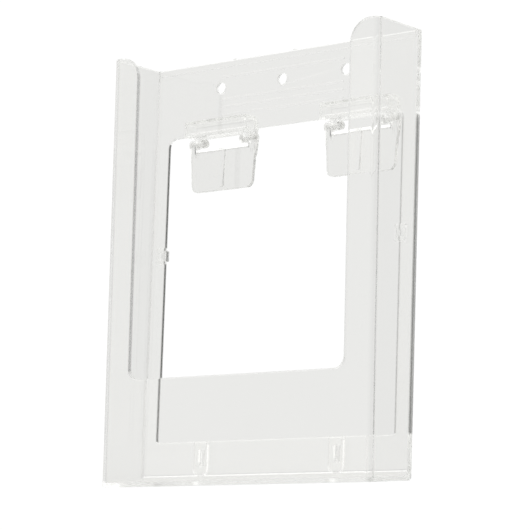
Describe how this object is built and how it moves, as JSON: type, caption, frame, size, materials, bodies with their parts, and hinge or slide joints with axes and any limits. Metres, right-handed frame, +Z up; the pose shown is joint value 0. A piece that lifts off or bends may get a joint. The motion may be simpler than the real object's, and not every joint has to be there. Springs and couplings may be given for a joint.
{
  "type": "brochure rack",
  "caption": "Clear plastic wall rack: an open-topped brochure pocket with a low front strip, upright flanges, a back window and hinged hanger flaps behind the top band.",
  "frame": {"origin": "the fixing point on the rear face of the top band, above the middle screw hole", "axes": "+Z up, +Y into the wall, +X to the right for someone facing the rack"},
  "size_m": [0.2346, 0.0602, 0.3007],
  "materials": {
    "shell": "clear, polished, with soft moulding flow",
    "hinge_block": "clear, polished",
    "flap": "clear, polished",
    "pin": "clear, lightly frosted",
    "lower_clip": "clear, polished",
    "side_clip": "clear, lightly frosted"
  },
  "bodies": {
    "rack": {"pocket_shell": "shell", "hinge_block_left": "hinge_block", "hinge_pin_left_outer": "pin", "hinge_pin_left_inner": "pin", "lower_clip_left": "lower_clip", "side_clip_left": "side_clip", "hinge_block_right": "hinge_block", "hinge_pin_right_outer": "pin", "hinge_pin_right_inner": "pin", "lower_clip_right": "lower_clip", "side_clip_right": "side_clip"},
    "flap_left": {"hanger_flap_left": "flap"},
    "flap_right": {"hanger_flap_right": "flap"}
  },
  "joints": [
    {"name": "flap_left_hinge", "type": "hinge", "parent": "rack", "child": "flap_left", "pos_m": [-0.061, 0.0095, -0.0494], "axis": [1, 0, 0], "range_deg": [-75, 95]},
    {"name": "flap_right_hinge", "type": "hinge", "parent": "rack", "child": "flap_right", "pos_m": [0.061, 0.0095, -0.0494], "axis": [1, 0, 0], "range_deg": [-75, 95]}
  ]
}
